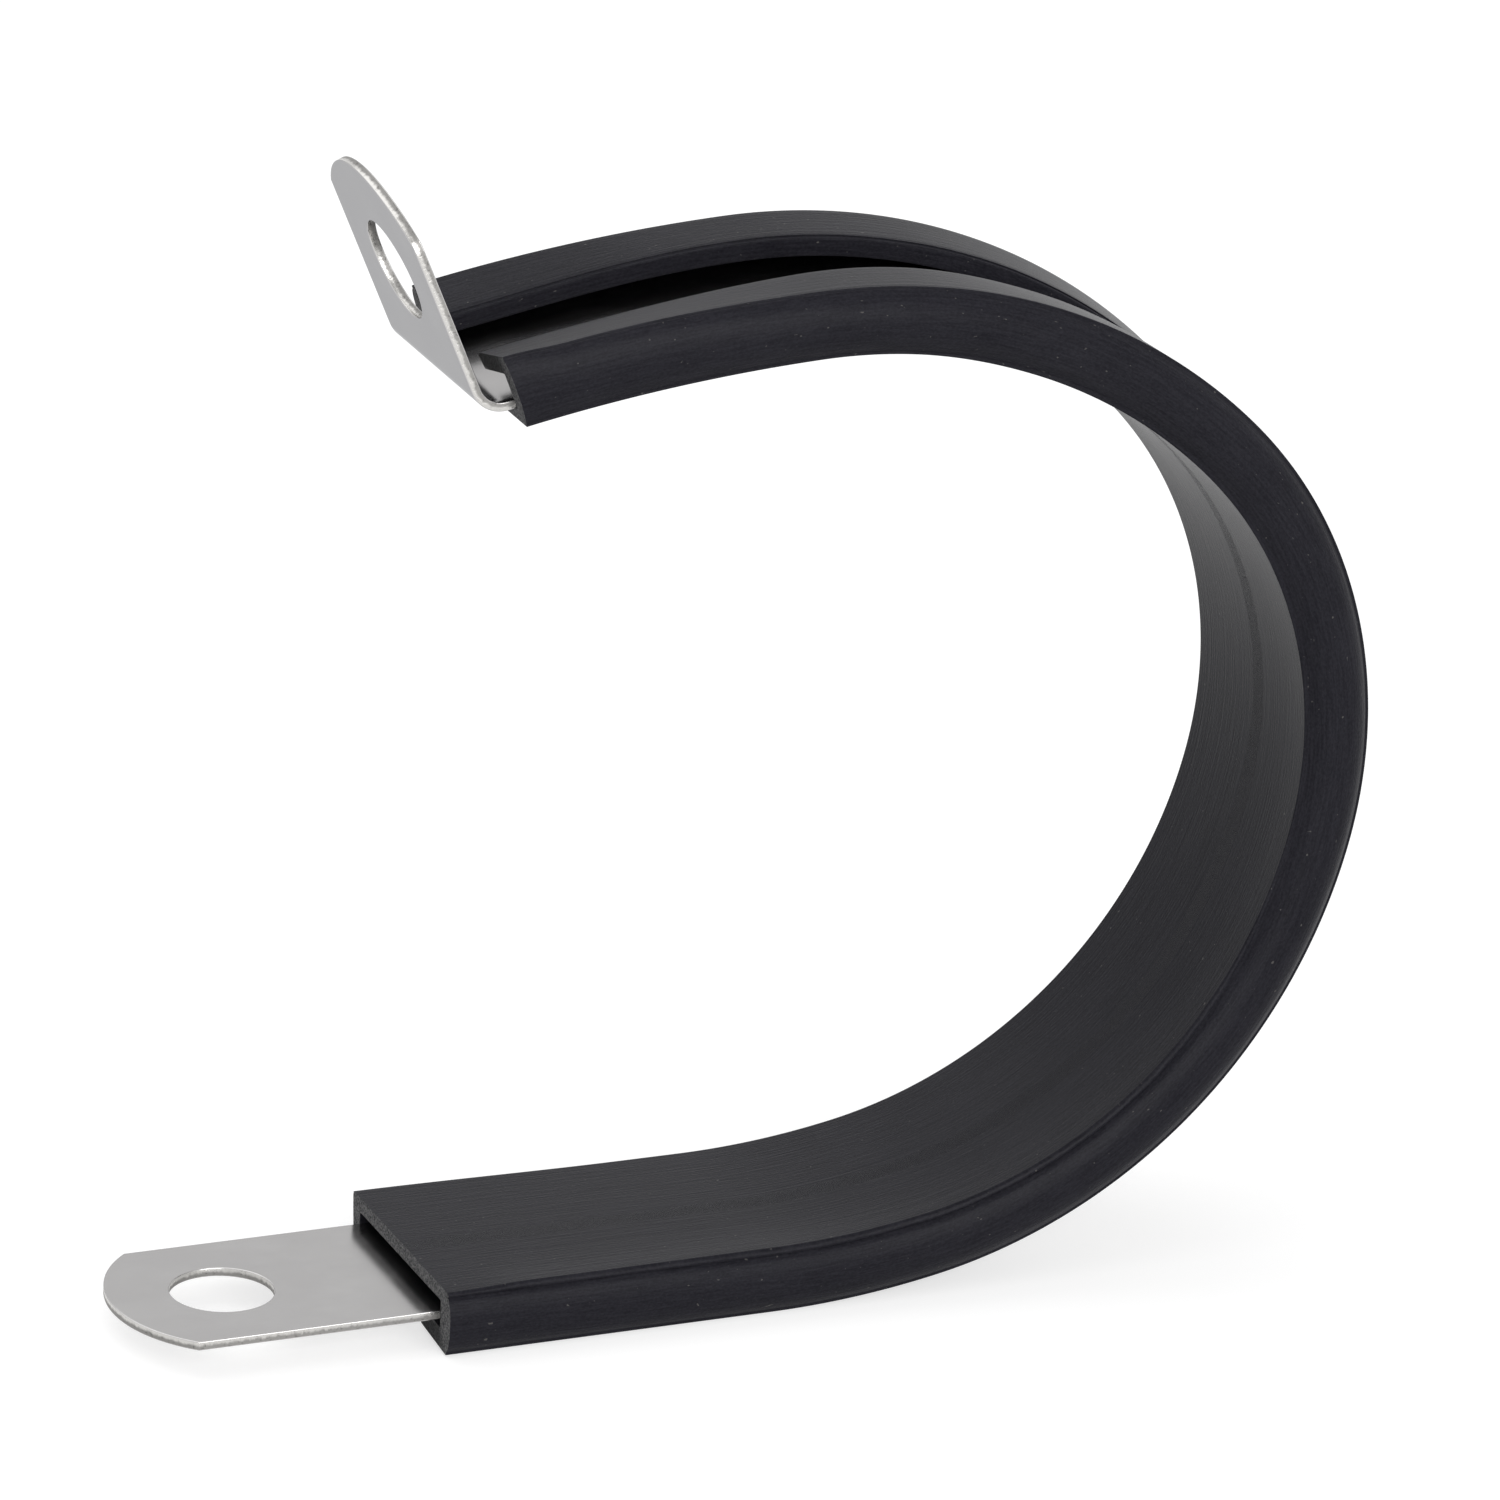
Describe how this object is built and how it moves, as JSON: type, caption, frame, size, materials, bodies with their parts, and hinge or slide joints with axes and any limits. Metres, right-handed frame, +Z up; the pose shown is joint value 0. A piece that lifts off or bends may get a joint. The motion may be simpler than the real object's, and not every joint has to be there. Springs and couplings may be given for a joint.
{
  "type": "p clip",
  "caption": "Sprung-open P-shaped clip: a bent steel strap with a bolt hole in each tab, lined with a rubber channel that cushions the cable or pipe it holds.",
  "frame": {"origin": "centre of the lower bolt hole, on the underside of its tab", "axes": "+X from the lower bolt hole into the loop, +Y across the strip, +Z up from the lower tab to the upper, along the lower bolt hole"},
  "size_m": [0.11, 0.0238, 0.1031],
  "materials": {
    "strap_steel": "satin",
    "liner_rubber": "matt"
  },
  "bodies": {
    "root": {"steel_strap": "strap_steel", "rubber_liner": "liner_rubber"}
  },
  "joints": []
}
